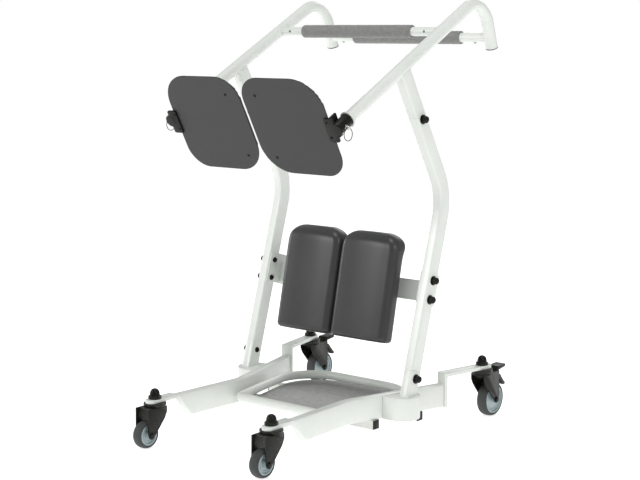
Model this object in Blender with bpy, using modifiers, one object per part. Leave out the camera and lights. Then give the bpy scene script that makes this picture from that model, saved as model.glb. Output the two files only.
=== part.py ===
"""Sit to stand lift: a rolling frame with a footplate, knee pads, swing-away seat pads and two grab bars.

Metres, +Z up. The origin is on the floor under the middle of the frame. The user steps in from -Y, the
entry end, and the carer pushes from +Y, the handle end. Left is -X and right is +X.
"""

import math

import bmesh
import bpy
from mathutils import Matrix, Vector

# Room kept between pieces that touch
GAP = 0.0003

# Base legs: upright rectangular tubes that run from the entry end to the handle end
LEG_WIDTH = 0.027
LEG_BOTTOM = 0.061
LEG_TOP = 0.1264
LEG_ENTRY = (0.2093, -0.333)
LEG_WAIST = (0.1955, -0.086)
LEG_HANDLE = (0.2878, 0.226)
LEG_WAIST_RADIUS = 0.12
LEG_EDGE = 0.004
LEG_NOSE_RUN = 0.051

# Straps that carry the casters
STRAP_WIDTH = 0.034
STRAP_THICKNESS = 0.010
ENTRY_STRAP_BOTTOM = 0.119
ENTRY_STRAP_START = -0.300
ENTRY_STRAP_REACH = 0.012
HANDLE_STRAP_BOTTOM = 0.1475
HANDLE_STRAP_REACH = 0.014
STEM_HOLE_RADIUS = 0.0066

# Casters, by place: (swivel axis x, y), wheel radius, trail and the direction that it trails in
ENTRY_SWIVEL = (0.2095, -0.408)
HANDLE_SWIVEL = (0.3225, 0.381)
ENTRY_WHEEL = {"radius": 0.0375, "trail": 0.036, "width": 0.030, "half_fork": 0.0250, "race": 0.008}
HANDLE_WHEEL = {"radius": 0.050, "trail": 0.045, "width": 0.032, "half_fork": 0.0235, "race": 0.012}
FORK_PLATE = 0.003
FORK_CROWN = 0.004
FORK_LEAD = -0.021
FORK_BACK = 0.012
FORK_FOOT_RADIUS = 0.0105
FORK_RACE_RADIUS = 0.029
UPPER_RACE_RADIUS = 0.031
RACE_GAP = 0.0012
STEM_BELOW_RACE = 0.007
CAP_PROFILE = [(0, 0.0277), (0.007, 0.0262), (0.0125, 0.0200), (0.014, 0.0090), (0.018, 0.0075), (0.018, 0)]
AXLE_RADIUS = 0.005
AXLE_HEAD_RADIUS = 0.008
AXLE_HEAD = 0.0035
TYRE_DEPTH = 0.009
TYRE_SIDES = 32
HUB_RADIUS = 0.010
WEB_RECESS = 0.006
RIM_THICKNESS = 0.004

# Brake pedals: a rocker with a flat tab on top and a sloping lever below, as (trail, height) points
PEDAL_HALF_WIDTH = 0.0165
PEDAL_BODY = [(0.0500, 0.1240), (0.0500, 0.1105), (0.0580, 0.1080), (0.0650, 0.1100)]
PEDAL_LEVER = [(0.0740, 0.1010), (0.0900, 0.0850), (0.0985, 0.0850), (0.1000, 0.0900)]
PEDAL_LEVER += [(0.0850, 0.1050), (0.0740, 0.1190), (0.0670, 0.1220)]
PEDAL_TAB = [(0.0660, 0.1335), (0.0990, 0.1378), (0.1005, 0.1460), (0.0620, 0.1445), (0.0570, 0.1365)]

# Cross tubes under the footplate
CROSS_TUBE_SIZE = 0.0250
CROSS_TUBE_WALL = 0.002
CROSS_TUBE_TOP = 0.0607
ENTRY_CROSS = {"y": -0.0075, "half_length": 0.234}
HANDLE_CROSS = {"y": 0.140, "half_length": 0.2745}
PLUG_CAP = 0.0025
PLUG_DEPTH = 0.014

# Footplate and the round tube that frames it
FOOTPLATE_BOTTOM = 0.061
FOOTPLATE_THICKNESS = 0.005
LOOP_RADIUS = 0.0125
LOOP_HEIGHT = 0.088
LOOP_SIDE_SLOPE = 0.21
LOOP_SIDE_AT_ORIGIN = 0.187
LOOP_ENTRY_Y = -0.134
LOOP_HANDLE_Y = 0.230
LOOP_ENTRY_CORNER = 0.030
LOOP_HANDLE_CORNER = 0.115
FOOTPLATE_ENTRY_Y = -0.090
FOOTPLATE_HANDLE_Y = 0.258

# Uprights: rectangular tubes with an elbow at knee-pad height
UPRIGHT_X = 0.291
UPRIGHT_WIDTH = 0.030
UPRIGHT_DEPTH = 0.043
UPRIGHT_EDGE = 0.0045
UPRIGHT_FOOT = (0.0576, 0.105)
UPRIGHT_LOWER_JOINT = (0.0833, 0.191)
UPRIGHT_ELBOW = (0.2251, 0.662)
UPRIGHT_UPPER_JOINT = (0.0923, 0.891)
UPRIGHT_TOP = (0.0224, 1.0115)
ELBOW_RADIUS = 0.155

# Sockets that carry the uprights, on the outer face of each leg
SOCKET_BOTTOM = 0.061
SOCKET_TOP = 0.124
SOCKET_CENTRE = (0.274, 0.062)
SOCKET_RADIUS = 0.048

# Arm tubes, which pass over the upright and hook down at the handle end
ARM_RADIUS = 0.017
ARM_WALL = 0.0025
ARM_SLOPE = 0.5351
ARM_AT_ORIGIN = 0.9995
ARM_CORNER_Y = 0.404
ARM_END = (0.456, 1.063)
ARM_CORNER_RADIUS = 0.075
ARM_PLUG_RIM = 0.004
ARM_PLUG_LIP = 0.0008
ARM_PLUG_DEPTH = 0.012

# Grab bars and their foam grips
PATIENT_BAR = {"y": 0.205, "z": 1.1092, "radius": 0.0125, "grip": 0.0183}
PUSH_BAR = {"y": 0.4463, "z": 1.0915, "radius": 0.014, "grip": 0.0190}
GRIP_HALF_LENGTH = 0.194
GRIP_ROUNDING = 0.0035

# Knee pads and their crossbar
KNEE_LEAN = math.atan(0.22)
KNEE_BAR_LEAN = math.atan(0.301)
KNEE_BAR_CENTRE = (0.1996, 0.389)
KNEE_BAR_HEIGHT = 0.057
KNEE_BAR_DEPTH = 0.025
KNEE_PLATE_THICKNESS = 0.003
KNEE_PLATE_HEIGHT = 0.088
KNEE_PLATE_DEPTH = 0.088
KNEE_PLATE_CENTRE = (0.1745, 0.404)
KNEE_PAD_FRONT = (0.093, 0.400)
KNEE_PAD_THICKNESS = 0.052
KNEE_PAD_LOW = -0.146
KNEE_PAD_HIGH = 0.161
KNEE_PAD_INNER_X = 0.0015
KNEE_PAD_OUTER_X = 0.200
KNEE_PAD_CORNER = 0.035
KNEE_PAD_EDGE = 0.018
KNEE_BRACKET_X = 0.100
KNEE_BRACKET_WIDTH = 0.070
KNEE_BRACKET_HEIGHT = 0.050

# Seat pads, which swing about the arm tubes
SEAT_FACE = (-0.2501, 0.875)
SEAT_TILT = math.atan(ARM_SLOPE)
SEAT_CROSSING_Y = -0.245
SEAT_THICKNESS = 0.015
SEAT_CROWN_INSET = 0.012
SEAT_INNER_X = 0.006
SEAT_OUTER_X = 0.2715
SEAT_LOW = 0.153
SEAT_HIGH = -0.132
SEAT_CORNERS = [0.068, 0.088, 0.062, 0.085]

# Seat hinges: a barrel that turns on a spindle at the arm tube's end, with its detent pin and pull ring
SPINDLE_RADIUS = 0.011
SPINDLE_END = 0.0
ARM_TUBE_END = 0.045
ARM_FLANGE_RADIUS = 0.022
ARM_FLANGE_THICKNESS = 0.004
BARREL_RADIUS = 0.018
BARREL_END = -0.008
BARREL_CAP = 0.005
HINGE_PLATE_THICKNESS = 0.0055
HINGE_PLATE_INNER_X = 0.260
HINGE_PLATE_HIGH = -0.024
HINGE_PLATE_LOW = 0.044
HINGE_SIDE_X = 0.2722
HINGE_SIDE_THICKNESS = 0.006
HINGE_SIDE_DEPTH = 0.032
PIN_ALONG_ARM = 0.0155
PIN_DIP = math.radians(12)
PIN_RADIUS = 0.0030
PIN_KNOB_RADIUS = 0.0050
PIN_TIP = 0.0116
PIN_SHOULDER = 0.0184
PIN_LENGTH = 0.0265
PIN_EYE = 0.0225
PIN_EYE_RADIUS = 0.0022
RING_RADIUS = 0.0165
RING_WIRE_RADIUS = 0.0010

SIDES = {"left": -1, "right": 1}

FINISHES = {
    "powder_coat": {"colour": (0.76, 0.78, 0.75), "roughness": 0.35, "metallic": 0.0},
    "footplate_grey": {"colour": (0.30, 0.31, 0.31), "roughness": 0.75, "metallic": 0.0},
    "black_plastic": {"colour": (0.015, 0.016, 0.014), "roughness": 0.45, "metallic": 0.0},
    "caster_black": {"colour": (0.020, 0.021, 0.017), "roughness": 0.40, "metallic": 0.0},
    "pad_vinyl": {"colour": (0.075, 0.075, 0.078), "roughness": 0.55, "metallic": 0.0},
    "grip_foam": {"colour": (0.20, 0.20, 0.20), "roughness": 0.90, "metallic": 0.0},
    "tyre_grey": {"colour": (0.11, 0.12, 0.12), "roughness": 0.60, "metallic": 0.0},
    "hub_grey": {"colour": (0.38, 0.44, 0.45), "roughness": 0.45, "metallic": 0.0},
    "steel": {"colour": (0.55, 0.55, 0.53), "roughness": 0.30, "metallic": 1.0},
}


def clear_scene():
    for obj in list(bpy.data.objects):
        bpy.data.objects.remove(obj)


def add_collection(name):
    collection = bpy.data.collections.new(name)
    bpy.context.scene.collection.children.link(collection)
    return collection


def make_finish(name, colour, roughness, metallic):
    material = bpy.data.materials.new(name)
    material.use_nodes = True
    shader = material.node_tree.nodes["Principled BSDF"]
    shader.inputs["Base Color"].default_value = (*colour, 1.0)
    shader.inputs["Roughness"].default_value = roughness
    shader.inputs["Metallic"].default_value = metallic
    return material


def new_object(name, data):
    obj = bpy.data.objects.new(name, data)
    parts.objects.link(obj)
    return obj


def finished(obj, finish, smooth=False):
    obj.data.materials.clear()
    obj.data.materials.append(finishes[finish])
    if smooth and obj.type == "MESH":
        obj.data.shade_smooth()
        obj.data.set_sharp_from_angle(angle=math.radians(35))
    return obj


def box(name, size, centre=(0, 0, 0), turn=None):
    """A box of the given size, turned about the origin and then moved to its centre."""
    mesh = bpy.data.meshes.new(name)
    shape = bmesh.new()
    bmesh.ops.create_cube(shape, size=1, matrix=Matrix.Diagonal((*size, 1)))
    shape.to_mesh(mesh)
    shape.free()
    obj = new_object(name, mesh)
    obj.matrix_world = Matrix.Translation(centre) @ (turn or Matrix.Identity(4))
    return obj


def cylinder(name, radius, depth, centre, direction, sides=24):
    mesh = bpy.data.meshes.new(name)
    shape = bmesh.new()
    bmesh.ops.create_cone(
        shape, cap_ends=True, segments=sides, radius1=radius, radius2=radius, depth=depth
    )
    shape.to_mesh(mesh)
    shape.free()
    obj = new_object(name, mesh)
    turn = Vector((0, 0, 1)).rotation_difference(Vector(direction))
    obj.matrix_world = Matrix.Translation(centre) @ turn.to_matrix().to_4x4()
    return obj


def turned(name, profile, place, steps=24, ring=False):
    """A profile of (radius, height) points turned about the local Z axis."""
    mesh = bpy.data.meshes.new(name)
    edges = [(index, index + 1) for index in range(len(profile) - 1)]
    if ring:
        edges.append((len(profile) - 1, 0))
    mesh.from_pydata([(radius, 0, height) for radius, height in profile], edges, [])
    obj = new_object(name, mesh)
    obj.matrix_world = place
    screw = obj.modifiers.new("Turn", "SCREW")
    screw.steps = steps
    screw.render_steps = steps
    screw.use_merge_vertices = True
    screw.merge_threshold = 0.00001
    screw.use_smooth_shade = True
    return obj


def curve(name, points, cyclic=False, flat=False):
    data = bpy.data.curves.new(name, "CURVE")
    data.dimensions = "2D" if flat else "3D"
    spline = data.splines.new("POLY")
    spline.points.add(len(points) - 1)
    for spot, point in zip(spline.points, points):
        spot.co = (*point, 0, 1) if len(point) == 2 else (*point, 1)
    spline.use_cyclic_u = cyclic
    return new_object(name, data)


def as_mesh(obj):
    """Turns a curve object into a mesh object with its caps joined."""
    graph = bpy.context.evaluated_depsgraph_get()
    mesh = bpy.data.meshes.new_from_object(obj.evaluated_get(graph))
    shape = bmesh.new()
    shape.from_mesh(mesh)
    bmesh.ops.remove_doubles(shape, verts=shape.verts, dist=0.00001)
    bmesh.ops.recalc_face_normals(shape, faces=shape.faces)
    shape.to_mesh(mesh)
    shape.free()
    name = obj.name
    place = obj.matrix_world.copy()
    bpy.data.objects.remove(obj)
    solid = new_object(name, mesh)
    solid.matrix_world = place
    return solid


def plate(name, outline, thickness, place):
    """A flat outline in the local XY plane, thickened equally to both sides of it."""
    sheet = curve(name, outline, cyclic=True, flat=True)
    sheet.data.fill_mode = "BOTH"
    sheet.data.extrude = thickness / 2
    sheet.matrix_world = place
    bpy.context.view_layer.update()
    return as_mesh(sheet)


def tube(name, points, radius, cyclic=False, resolution=5):
    rod = curve(name, points, cyclic=cyclic)
    rod.data.bevel_depth = radius
    rod.data.bevel_resolution = resolution
    rod.data.use_fill_caps = not cyclic
    return as_mesh(rod)


def swept(name, points, section, twist="Z_UP"):
    """A closed section, given as (x, y) points, carried along a path."""
    outline = curve(name + "_section", section, cyclic=True, flat=True)
    path = curve(name, points)
    path.data.twist_mode = twist
    path.data.bevel_mode = "OBJECT"
    path.data.bevel_object = outline
    path.data.use_fill_caps = True
    solid = as_mesh(path)
    bpy.data.objects.remove(outline)
    return solid


def combine(obj, other, operation):
    """Cuts another solid from an object, or joins it on, and puts the other one away."""
    parts.objects.unlink(other)
    cutters.objects.link(other)
    other.hide_render = True
    other.display_type = "WIRE"
    change = obj.modifiers.new(operation.title(), "BOOLEAN")
    change.operation = operation
    change.object = other
    return obj


def crown_rim(obj, width):
    """Slopes the rim of a plate's local +Z face, the cushioned side of a board."""
    shape = bmesh.new()
    shape.from_mesh(obj.data)
    top = max(point.co.z for point in shape.verts) - GAP
    rim = [
        edge
        for edge in shape.edges
        if min(point.co.z for point in edge.verts) > top
        and len(edge.link_faces) == 2
        and edge.calc_face_angle() > math.radians(60)
    ]
    bmesh.ops.bevel(
        shape, geom=rim, offset=width, segments=1, profile=0.5, affect="EDGES", clamp_overlap=True
    )
    shape.to_mesh(obj.data)
    shape.free()


def rim_rounded(obj, width):
    """Rounds a plate's rims, where its broad faces meet its edge."""
    bevel = obj.modifiers.new("Rounding", "BEVEL")
    bevel.width = width
    bevel.segments = 2
    bevel.limit_method = "ANGLE"
    bevel.angle_limit = math.radians(60)
    return obj


def arc(centre, radius, start, end, steps):
    """Points of a plane arc, angles in degrees."""
    points = []
    for step in range(steps + 1):
        angle = math.radians(start + (end - start) * step / steps)
        points.append((centre[0] + radius * math.cos(angle), centre[1] + radius * math.sin(angle)))
    return points


def filleted(points, radii, steps=6, cyclic=False):
    """The path through the points, with each inner corner rounded to its radius."""
    corners = [Vector(point) for point in points]
    path = [] if cyclic else [corners[0]]
    inner = range(len(corners)) if cyclic else range(1, len(corners) - 1)
    for index, radius in zip(inner, radii):
        corner = corners[index]
        back = (corners[index - 1] - corner).normalized()
        ahead = (corners[(index + 1) % len(corners)] - corner).normalized()
        half = back.angle(ahead) / 2
        centre = corner + (back + ahead).normalized() * radius / math.sin(half)
        start = corner + back * radius / math.tan(half) - centre
        end = corner + ahead * radius / math.tan(half) - centre
        for step in range(steps + 1):
            share = step / steps
            turn = math.pi - 2 * half
            weights = (math.sin((1 - share) * turn), math.sin(share * turn))
            path.append(centre + (start * weights[0] + end * weights[1]) / math.sin(turn))
    if not cyclic:
        path.append(corners[-1])
    return path


def rounded_rectangle(width, height, radius, steps=2):
    """(x, y) points of a rectangle with rounded corners, about its centre."""
    x = width / 2 - radius
    y = height / 2 - radius
    points = []
    for quarter, centre in enumerate([(x, y), (-x, y), (-x, -y), (x, -y)]):
        points += arc(centre, radius, 90 * quarter, 90 * quarter + 90, steps)
    return points


def basis(origin, x_axis, y_axis):
    """A placing whose local X and Y run along the given directions."""
    x_axis = Vector(x_axis).normalized()
    y_axis = Vector(y_axis).normalized()
    columns = (x_axis, y_axis, x_axis.cross(y_axis))
    place = Matrix(columns).transposed().to_4x4()
    place.translation = origin
    return place


def arm_height(y):
    return ARM_AT_ORIGIN + ARM_SLOPE * y


def arm_point(along):
    """A point on the arm tubes' centre line, in the centre plane, at a distance from the seat's face."""
    return Vector((0, SEAT_CROSSING_Y, arm_height(SEAT_CROSSING_Y))) + ARM_AXIS * along


ARM_AXIS = Vector((0, math.cos(SEAT_TILT), math.sin(SEAT_TILT)))
SEAT_DOWN = Vector((0, math.sin(SEAT_TILT), -math.cos(SEAT_TILT)))


# Base


def leg(side, label):
    path = [(side * x, y, (LEG_BOTTOM + LEG_TOP) / 2) for x, y in (LEG_ENTRY, LEG_WAIST, LEG_HANDLE)]
    section = rounded_rectangle(LEG_WIDTH, LEG_TOP - LEG_BOTTOM, LEG_EDGE)
    solid = swept("base_leg_" + label, filleted(path, [LEG_WAIST_RADIUS], 4), section)
    nose = nose_cutter("leg_nose_" + label, side, 0)
    finished(combine(solid, nose, "DIFFERENCE"), "powder_coat")


def nose_cutter(name, side, offset, beyond=True):
    """A block on the entry side of the leg's slanted end, or on its far side."""
    slant = math.atan2(LEG_NOSE_RUN, LEG_TOP - LEG_BOTTOM)
    normal = Vector((0, math.cos(slant), math.sin(slant)))
    block = 0.3
    edge = Vector((side * LEG_ENTRY[0], LEG_ENTRY[1], LEG_TOP))
    centre = edge + normal * (offset + (-block / 2 if beyond else block / 2))
    return box(name, (block / 2, block, block), centre, Matrix.Rotation(slant, 4, "X"))


def rounded_strap(name, start, end, reach, bottom, thickness):
    """A flat bar from one plan point to another, with a half-round end past the second."""
    along = Vector((end[0] - start[0], end[1] - start[1], 0)).normalized()
    length = math.dist(start, end) + reach
    half = STRAP_WIDTH / 2
    outline = [(0, -half)] + arc((length, 0), half, -90, 90, 8) + [(0, half)]
    across = Vector((0, 0, 1)).cross(along)
    place = basis((*start, bottom + thickness / 2), along, across)
    return plate(name, outline, thickness, place)


def entry_strap(side, label):
    swivel = (side * ENTRY_SWIVEL[0], ENTRY_SWIVEL[1])
    strap = rounded_strap(
        "entry_caster_strap_" + label,
        (side * LEG_ENTRY[0], ENTRY_STRAP_START),
        swivel,
        ENTRY_STRAP_REACH,
        ENTRY_STRAP_BOTTOM,
        STRAP_THICKNESS,
    )
    combine(strap, nose_cutter("entry_strap_end_" + label, side, -GAP, beyond=False), "DIFFERENCE")
    stem_hole(strap, swivel, ENTRY_STRAP_BOTTOM)
    finished(strap, "powder_coat")


def handle_strap(side, label):
    ahead = Vector(LEG_HANDLE) - Vector(LEG_WAIST)
    turn = math.atan2(ahead[0], ahead[1])
    foot = Vector(LEG_HANDLE) + ahead.normalized() * (GAP + STRAP_THICKNESS / 2)
    top = HANDLE_STRAP_BOTTOM + STRAP_THICKNESS
    swivel = (side * HANDLE_SWIVEL[0], HANDLE_SWIVEL[1])
    strap = rounded_strap(
        "handle_caster_strap_" + label,
        (side * foot[0], foot[1]),
        swivel,
        HANDLE_STRAP_REACH,
        HANDLE_STRAP_BOTTOM,
        STRAP_THICKNESS,
    )
    riser = box(
        "handle_strap_riser_" + label,
        (STRAP_WIDTH, STRAP_THICKNESS, top - LEG_BOTTOM),
        (side * foot[0], foot[1], (top + LEG_BOTTOM) / 2),
        Matrix.Rotation(-side * turn, 4, "Z"),
    )
    combine(strap, riser, "UNION")
    stem_hole(strap, swivel, HANDLE_STRAP_BOTTOM)
    finished(strap, "powder_coat")


def stem_hole(strap, swivel, bottom):
    hole = cylinder(
        strap.name + "_hole",
        STEM_HOLE_RADIUS,
        3 * STRAP_THICKNESS,
        (*swivel, bottom + STRAP_THICKNESS / 2),
        (0, 0, 1),
        16,
    )
    combine(strap, hole, "DIFFERENCE")


def cross_tube(end, spec):
    size = CROSS_TUBE_SIZE
    centre = (0, spec["y"], CROSS_TUBE_TOP - size / 2)
    outer = box("cross_tube_" + end, (2 * spec["half_length"], size, size), centre)
    bore = size - 2 * CROSS_TUBE_WALL
    inner = box("cross_tube_bore_" + end, (3 * spec["half_length"], bore, bore), centre)
    finished(combine(outer, inner, "DIFFERENCE"), "powder_coat")


def cross_tube_plug(end, spec, side, label):
    size = CROSS_TUBE_SIZE
    face = spec["half_length"] + GAP
    name = "cross_tube_plug_" + end + "_" + label
    height = CROSS_TUBE_TOP - size / 2
    cap = box(name, (PLUG_CAP, size, size), (side * (face + PLUG_CAP / 2), spec["y"], height))
    bore = size - 2 * CROSS_TUBE_WALL - 2 * GAP
    middle = face + PLUG_CAP / 2 - PLUG_DEPTH / 2
    stub = box(name + "_stub", (PLUG_DEPTH, bore, bore), (side * middle, spec["y"], height))
    finished(combine(cap, stub, "UNION"), "black_plastic")


def loop_corners(entry_y, handle_y):
    """Plan corners of the footplate, anticlockwise from the entry end's left corner."""
    entry_x = LOOP_SIDE_AT_ORIGIN + LOOP_SIDE_SLOPE * entry_y
    handle_x = LOOP_SIDE_AT_ORIGIN + LOOP_SIDE_SLOPE * handle_y
    return [(-entry_x, entry_y), (entry_x, entry_y), (handle_x, handle_y), (-handle_x, handle_y)]


def footplate():
    radii = [LOOP_ENTRY_CORNER] * 2 + [LOOP_HANDLE_CORNER] * 2
    corners = loop_corners(FOOTPLATE_ENTRY_Y, FOOTPLATE_HANDLE_Y)
    outline = filleted([(x, y) for x, y in corners], radii, 8, cyclic=True)
    middle = FOOTPLATE_BOTTOM + FOOTPLATE_THICKNESS / 2
    board = plate("footplate", outline, FOOTPLATE_THICKNESS, Matrix.Translation((0, 0, middle)))
    finished(board, "footplate_grey")

    corners = [(x, y, LOOP_HEIGHT) for x, y in loop_corners(LOOP_ENTRY_Y, LOOP_HANDLE_Y)]
    path = filleted(corners, radii, 8, cyclic=True)
    finished(tube("footplate_frame", path, LOOP_RADIUS, cyclic=True, resolution=4), "powder_coat", True)


# Uprights and arms


def leg_outer_face(y):
    """Distance from the centre plane to a leg's outer face, on its handle half."""
    run = (y - LEG_WAIST[1]) / (LEG_HANDLE[1] - LEG_WAIST[1])
    middle = LEG_WAIST[0] + run * (LEG_HANDLE[0] - LEG_WAIST[0])
    turn = math.atan2(LEG_HANDLE[0] - LEG_WAIST[0], LEG_HANDLE[1] - LEG_WAIST[1])
    return middle + LEG_WIDTH / 2 / math.cos(turn)


def upright_base(side, label):
    low = SOCKET_CENTRE[1] - SOCKET_RADIUS
    high = SOCKET_CENTRE[1] + SOCKET_RADIUS
    outline = [(leg_outer_face(low) + 2 * GAP, low)]
    outline += arc(SOCKET_CENTRE, SOCKET_RADIUS, -90, 90, 14)
    outline += [(leg_outer_face(high) + 2 * GAP, high)]
    outline = [(side * x, y) for x, y in outline]
    middle = (SOCKET_BOTTOM + SOCKET_TOP) / 2
    socket = plate(
        "upright_base_" + label, outline, SOCKET_TOP - SOCKET_BOTTOM, Matrix.Translation((0, 0, middle))
    )
    path = [(side * UPRIGHT_X, y, z) for y, z in (UPRIGHT_FOOT, UPRIGHT_LOWER_JOINT)]
    stub = swept("upright_stub_" + label, path, upright_section(), "MINIMUM")
    finished(combine(socket, stub, "UNION"), "powder_coat")


def upright_section():
    return rounded_rectangle(UPRIGHT_WIDTH, UPRIGHT_DEPTH, UPRIGHT_EDGE)


def shortened(path):
    """A path with the gap taken off each end."""
    first = (path[1] - path[0]).normalized()
    last = (path[-2] - path[-1]).normalized()
    return [path[0] + first * GAP] + path[1:-1] + [path[-1] + last * GAP]


def upright(side, label):
    corners = (UPRIGHT_LOWER_JOINT, UPRIGHT_ELBOW, UPRIGHT_UPPER_JOINT)
    path = filleted([(side * UPRIGHT_X, y, z) for y, z in corners], [ELBOW_RADIUS], 8)
    finished(swept("upright_" + label, shortened(path), upright_section(), "MINIMUM"), "powder_coat")


def arm_path(side):
    corners = (arm_point(ARM_TUBE_END)[1:], (ARM_CORNER_Y, arm_height(ARM_CORNER_Y)), ARM_END)
    return filleted([(side * UPRIGHT_X, y, z) for y, z in corners], [ARM_CORNER_RADIUS], 8)


def arm(side, label):
    pipe = tube("arm_tube_" + label, arm_path(side), ARM_RADIUS)
    path = [Vector((side * UPRIGHT_X, y, z)) for y, z in (UPRIGHT_UPPER_JOINT, UPRIGHT_TOP)]
    stub = swept("arm_stub_" + label, path, upright_section(), "MINIMUM")
    combine(pipe, stub, "UNION")
    across = Vector((side * UPRIGHT_X, 0, 0))
    spindle_length = ARM_TUBE_END + ARM_FLANGE_THICKNESS - SPINDLE_END
    middle = across + arm_point(SPINDLE_END + spindle_length / 2)
    spindle = cylinder("arm_spindle_" + label, SPINDLE_RADIUS, spindle_length, middle, ARM_AXIS, 20)
    combine(pipe, spindle, "UNION")
    middle = across + arm_point(ARM_TUBE_END + ARM_FLANGE_THICKNESS / 2)
    flange = cylinder("arm_flange_" + label, ARM_FLANGE_RADIUS, ARM_FLANGE_THICKNESS, middle, ARM_AXIS)
    combine(pipe, flange, "UNION")
    end = arm_path(side)[-1]
    down = (end - arm_path(side)[-2]).normalized()
    bore_radius = ARM_RADIUS - ARM_WALL
    bore = cylinder("arm_bore_" + label, bore_radius, 2 * ARM_PLUG_DEPTH, end, down)
    finished(combine(pipe, bore, "DIFFERENCE"), "powder_coat", True)

    rim = ARM_RADIUS + ARM_PLUG_LIP
    neck = bore_radius - GAP
    depth = ARM_PLUG_DEPTH - 2 * GAP
    profile = [(0, ARM_PLUG_RIM), (rim - 0.001, ARM_PLUG_RIM), (rim, ARM_PLUG_RIM - 0.001)]
    profile += [(rim, GAP), (neck, GAP), (neck, -depth), (0, -depth)]
    turn = Vector((0, 0, 1)).rotation_difference(down)
    place = Matrix.Translation(end) @ turn.to_matrix().to_4x4()
    finished(turned("arm_end_plug_" + label, profile, place), "black_plastic")


def grab_bar(name, spec, direction):
    """A bar between the arm tubes, its ends hollowed to fit them, and its foam grip."""
    line = [(-UPRIGHT_X, spec["y"], spec["z"]), (UPRIGHT_X, spec["y"], spec["z"])]
    rod = tube(name, line, spec["radius"])
    for label, side in SIDES.items():
        centre = (side * UPRIGHT_X, spec["y"], spec["z"])
        saddle = cylinder(name + "_saddle_" + label, ARM_RADIUS + GAP, 0.1, centre, direction)
        combine(rod, saddle, "DIFFERENCE")
    finished(rod, "powder_coat", True)

    half = GRIP_HALF_LENGTH
    bore = spec["radius"] + GAP
    outer = spec["grip"]
    profile = [(bore, half), (outer - GRIP_ROUNDING, half), (outer, half - GRIP_ROUNDING)]
    profile += [(radius, -height) for radius, height in reversed(profile)]
    place = Matrix.Translation((0, spec["y"], spec["z"])) @ Matrix.Rotation(math.pi / 2, 4, "Y")
    finished(turned(name + "_grip", profile, place, ring=True), "grip_foam")


# Knee support


def knee_place(x, centre):
    """A placing whose local Y runs up the lean and whose local Z points at the user."""
    up = (0, math.sin(KNEE_LEAN), math.cos(KNEE_LEAN))
    return basis((x, *centre), (1, 0, 0), up)


def knee_pad_back(z):
    """Where the back of the knee pads is at a height."""
    front = KNEE_PAD_FRONT[0] + math.tan(KNEE_LEAN) * (z - KNEE_PAD_FRONT[1])
    return front + KNEE_PAD_THICKNESS / math.cos(KNEE_LEAN)


def knee_crossbar():
    inner = UPRIGHT_X - UPRIGHT_WIDTH / 2 - GAP
    turn = Matrix.Rotation(-KNEE_BAR_LEAN, 4, "X")
    length = 2 * (inner - KNEE_PLATE_THICKNESS / 2)
    rail = box("knee_crossbar", (length, KNEE_BAR_DEPTH, KNEE_BAR_HEIGHT), (0, *KNEE_BAR_CENTRE), turn)
    size = (KNEE_PLATE_THICKNESS, KNEE_PLATE_DEPTH, KNEE_PLATE_HEIGHT)
    for label, side in SIDES.items():
        x = side * (inner - KNEE_PLATE_THICKNESS / 2)
        combine(rail, box("knee_end_plate_" + label, size, (x, *KNEE_PLATE_CENTRE), turn), "UNION")
        front = knee_pad_back(KNEE_BAR_CENTRE[1]) + 4 * GAP
        depth = KNEE_BAR_CENTRE[0] - front
        block = (KNEE_BRACKET_WIDTH, depth, KNEE_BRACKET_HEIGHT)
        middle = (side * KNEE_BRACKET_X, front + depth / 2, KNEE_BAR_CENTRE[1])
        bracket = box("knee_bracket_" + label, block, middle, Matrix.Rotation(-KNEE_LEAN, 4, "X"))
        combine(rail, bracket, "UNION")
    finished(rail, "powder_coat")


def knee_pad(side, label):
    corners = [(KNEE_PAD_INNER_X, KNEE_PAD_LOW), (KNEE_PAD_OUTER_X, KNEE_PAD_LOW)]
    corners += [(KNEE_PAD_OUTER_X, KNEE_PAD_HIGH), (KNEE_PAD_INNER_X, KNEE_PAD_HIGH)]
    outline = filleted([(side * x, up) for x, up in corners], [KNEE_PAD_CORNER] * 4, 4, cyclic=True)
    away = Vector((0, math.cos(KNEE_LEAN), -math.sin(KNEE_LEAN)))
    centre = Vector((0, *KNEE_PAD_FRONT)) + away * KNEE_PAD_THICKNESS / 2
    pad = plate("knee_pad_" + label, outline, KNEE_PAD_THICKNESS, knee_place(0, centre[1:]))
    finished(rim_rounded(pad, KNEE_PAD_EDGE), "pad_vinyl")


# Seat


def seat_place(side, along):
    """A placing in the seat pad's plane: local X to the right, local Y down it."""
    origin = Vector((0, *SEAT_FACE)) + ARM_AXIS * along
    return basis(origin, (1, 0, 0), SEAT_DOWN)


def seat_pad(side, label):
    corners = [(SEAT_INNER_X, SEAT_HIGH), (SEAT_OUTER_X, SEAT_HIGH)]
    corners += [(SEAT_OUTER_X, SEAT_LOW), (SEAT_INNER_X, SEAT_LOW)]
    outline = filleted([(side * x, down) for x, down in corners], SEAT_CORNERS, 6, cyclic=True)
    pad = plate("seat_pad_" + label, outline, SEAT_THICKNESS, seat_place(side, SEAT_THICKNESS / 2))
    crown_rim(pad, SEAT_CROWN_INSET)
    finished(pad, "pad_vinyl")


def pin_direction(side):
    return Vector((side * math.cos(PIN_DIP), 0, 0)) + SEAT_DOWN * math.sin(PIN_DIP)


def pin_place(side):
    """A placing on the arm tube's axis with its local Z along the detent pin."""
    centre = arm_point(PIN_ALONG_ARM) + Vector((side * UPRIGHT_X, 0, 0))
    return basis(centre, ARM_AXIS, pin_direction(side).cross(ARM_AXIS))


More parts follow.
